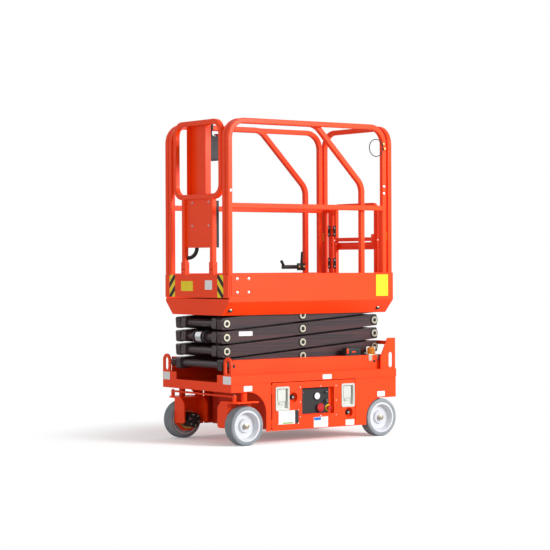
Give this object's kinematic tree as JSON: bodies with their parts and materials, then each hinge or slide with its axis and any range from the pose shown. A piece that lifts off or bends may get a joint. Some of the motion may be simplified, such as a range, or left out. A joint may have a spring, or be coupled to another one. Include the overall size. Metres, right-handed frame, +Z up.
{
  "type": "electric slab scissor lift",
  "caption": "Compact electric scissor lift: steered wheeled chassis, stacked scissor arms and a railed platform with roll-out deck.",
  "frame": {"origin": "on the ground, below the middle of the chassis", "axes": "+X forwards towards the steered wheels and the control console, +Y to the machine's left, +Z up"},
  "size_m": [1.3, 0.76, 2],
  "materials": {
    "orange": "gloss paint",
    "arm": "semi-gloss paint",
    "zinc": "zinc plated",
    "black": "satin black",
    "chrome": "polished rod",
    "amber": "clear amber lens",
    "console": "moulded",
    "tyre": "non-marking grey",
    "rim": "silver paint"
  },
  "bodies": {
    "chassis": {"base_frame": "orange", "upper_frame": "orange", "side_plates": "orange", "front_channel": "orange", "rear_frame": "orange", "warning_light": "amber"},
    "door_left": {"door_left": "orange", "power_unit": "black"},
    "door_right": {"door_right": "orange", "battery_pack": "black"},
    "knuckle_left": {"knuckle_left": "orange", "drive_motor_left": "black"},
    "knuckle_right": {"knuckle_right": "orange", "drive_motor_right": "black"},
    "tie_bar": {"tie_bar": "orange"},
    "wheel_front_left": {"tyre_front_left": "tyre", "rim_front_left": "rim"},
    "wheel_front_right": {"tyre_front_right": "tyre", "rim_front_right": "rim"},
    "wheel_rear_left": {"tyre_rear_left": "tyre", "rim_rear_left": "rim"},
    "wheel_rear_right": {"tyre_rear_right": "tyre", "rim_rear_right": "rim"},
    "lift_barrel": {"lift_barrel": "black"},
    "lift_rod": {"lift_rod": "chrome"},
    "platform": {"platform_frame": "orange", "side_rails": "orange", "rear_rail": "orange"},
    "gate": {"gate": "orange"},
    "extension": {"extension_deck": "orange", "extension_rails": "orange", "foot_lever": "black"},
    "front_rail": {"front_rail": "orange", "front_panel": "orange", "tower": "orange", "cable_box": "black", "console": "console"},
    "inner_1": {"inner_frame_1": "arm"},
    "outer_1": {"outer_arms_1": "arm", "pins_1": "zinc"},
    "inner_2": {"inner_frame_2": "arm"},
    "outer_2": {"outer_arms_2": "arm", "pins_2": "zinc"},
    "inner_3": {"inner_frame_3": "arm"},
    "outer_3": {"outer_arms_3": "arm", "pins_3": "zinc"},
    "inner_4": {"inner_frame_4": "arm"},
    "outer_4": {"outer_arms_4": "arm", "pins_4": "zinc"}
  },
  "joints": [
    {"name": "lift", "type": "hinge", "parent": "chassis", "child": "inner_1", "pos_m": [-0.568, 0, 0.487], "axis": [0, -1, 0], "range_deg": [0, 53.23]},
    {"name": "centre_1", "type": "hinge", "parent": "inner_1", "child": "outer_1", "pos_m": [0.01495, 0, 0.5295], "axis": [0, -1, 0], "range_deg": [-106.47, 0.01]},
    {"name": "rear_1", "type": "hinge", "parent": "outer_1", "child": "inner_2", "pos_m": [-0.568, 0, 0.572], "axis": [0, -1, 0], "range_deg": [-0.01, 106.47]},
    {"name": "centre_2", "type": "hinge", "parent": "inner_2", "child": "outer_2", "pos_m": [0.01495, 0, 0.6145], "axis": [0, -1, 0], "range_deg": [-106.47, 0.01]},
    {"name": "rear_2", "type": "hinge", "parent": "outer_2", "child": "inner_3", "pos_m": [-0.568, 0, 0.657], "axis": [0, -1, 0], "range_deg": [-0.01, 106.47]},
    {"name": "centre_3", "type": "hinge", "parent": "inner_3", "child": "outer_3", "pos_m": [0.01495, 0, 0.6995], "axis": [0, -1, 0], "range_deg": [-106.47, 0.01]},
    {"name": "rear_3", "type": "hinge", "parent": "outer_3", "child": "inner_4", "pos_m": [-0.568, 0, 0.742], "axis": [0, -1, 0], "range_deg": [-0.01, 106.47]},
    {"name": "centre_4", "type": "hinge", "parent": "inner_4", "child": "outer_4", "pos_m": [0.01495, 0, 0.7845], "axis": [0, -1, 0], "range_deg": [-106.47, 0.01]},
    {"name": "platform_level", "type": "hinge", "parent": "outer_4", "child": "platform", "pos_m": [-0.568, 0, 0.827], "axis": [0, -1, 0], "range_deg": [-0.01, 53.24]},
    {"name": "barrel_turn", "type": "hinge", "parent": "inner_1", "child": "lift_barrel", "pos_m": [-0.50816, 0, 0.49136], "axis": [0, -1, 0], "range_deg": [-0.01, 10.97]},
    {"name": "rod_slide", "type": "slide", "parent": "lift_barrel", "child": "lift_rod", "axis": [0.989, 0, 0.1481], "range_m": [-0.0001, 0.89167]},
    {"name": "extension_slide", "type": "slide", "parent": "platform", "child": "extension", "axis": [1, 0, 0], "range_m": [0, 0.6]},
    {"name": "front_rail_fold", "type": "hinge", "parent": "extension", "child": "front_rail", "pos_m": [0.626, 0, 1.1], "axis": [0, -1, 0], "range_deg": [0, 80]},
    {"name": "gate_swing", "type": "hinge", "parent": "platform", "child": "gate", "pos_m": [-0.626, -0.232, 1.35], "axis": [0, 0, -1], "range_deg": [0, 90]},
    {"name": "door_left_swing", "type": "hinge", "parent": "chassis", "child": "door_left", "pos_m": [0.344, 0.375, 0.2], "axis": [0, 0, -1], "range_deg": [0, 90]},
    {"name": "door_right_swing", "type": "hinge", "parent": "chassis", "child": "door_right", "pos_m": [0.344, -0.375, 0.2], "axis": [0, 0, 1], "range_deg": [0, 90]},
    {"name": "steer", "type": "hinge", "parent": "chassis", "child": "knuckle_left", "pos_m": [0.53, 0.34, 0.3], "axis": [0, 0, 1], "range_deg": [-55, 55]},
    {"name": "steer_right", "type": "hinge", "parent": "chassis", "child": "knuckle_right", "pos_m": [0.53, -0.34, 0.3], "axis": [0, 0, 1], "range_deg": [-55.01, 55.01]},
    {"name": "tie_bar_turn", "type": "hinge", "parent": "knuckle_left", "child": "tie_bar", "pos_m": [0.6, 0.34, 0.3], "axis": [0, 0, 1], "range_deg": [-55.01, 55.01]},
    {"name": "wheel_front_left_spin", "type": "hinge", "parent": "knuckle_left", "child": "wheel_front_left", "pos_m": [0.53, 0.34, 0.12], "axis": [0, 1, 0], "continuous": true},
    {"name": "wheel_front_right_spin", "type": "hinge", "parent": "knuckle_right", "child": "wheel_front_right", "pos_m": [0.53, -0.34, 0.12], "axis": [0, 1, 0], "continuous": true},
    {"name": "wheel_rear_left_spin", "type": "hinge", "parent": "chassis", "child": "wheel_rear_left", "pos_m": [-0.53, 0.34, 0.12], "axis": [0, 1, 0], "continuous": true},
    {"name": "wheel_rear_right_spin", "type": "hinge", "parent": "chassis", "child": "wheel_rear_right", "pos_m": [-0.53, -0.34, 0.12], "axis": [0, 1, 0], "continuous": true}
  ],
  "couplings": [
    {"joint": "centre_1", "follows": "lift", "ratio": -2},
    {"joint": "rear_1", "follows": "lift", "ratio": 2},
    {"joint": "centre_2", "follows": "lift", "ratio": -2},
    {"joint": "rear_2", "follows": "lift", "ratio": 2},
    {"joint": "centre_3", "follows": "lift", "ratio": -2},
    {"joint": "rear_3", "follows": "lift", "ratio": 2},
    {"joint": "centre_4", "follows": "lift", "ratio": -2},
    {"joint": "platform_level", "follows": "lift", "ratio": 1},
    {"joint": "barrel_turn", "follows": "lift", "ratio": 0.20588},
    {"joint": "rod_slide", "follows": "lift", "m_per_rad": 0.95967},
    {"joint": "steer_right", "follows": "steer", "ratio": 1},
    {"joint": "tie_bar_turn", "follows": "steer", "ratio": -1}
  ]
}
